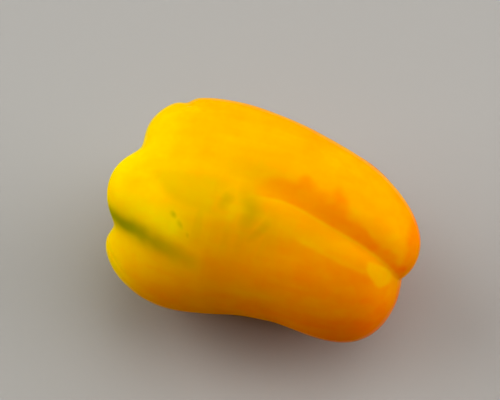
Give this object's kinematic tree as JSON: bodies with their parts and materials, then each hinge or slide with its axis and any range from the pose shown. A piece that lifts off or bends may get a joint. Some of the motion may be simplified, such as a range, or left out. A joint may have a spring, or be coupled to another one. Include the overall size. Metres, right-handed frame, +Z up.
{
  "type": "bell pepper",
  "caption": "Yellow bell pepper lying on its side, with lobes that run from a hollowed stem end to a dimpled tip, and a short green stem on a toothed calyx.",
  "frame": {"origin": "centre of the bounding box at the level of the surface that the pepper rests on", "axes": "+X along the fruit from the stem end to the blossom end, +Z up, -Y the side that faces the viewer"},
  "size_m": [0.1058, 0.072, 0.0758],
  "materials": {
    "skin": "smooth waxy pepper skin, yellow with orange towards the tip and a green flush in the furrows at the stem end",
    "stem": "matt green plant stem with fine ribs"
  },
  "bodies": {
    "root": {"fruit": "skin", "stem": "stem"}
  },
  "joints": []
}
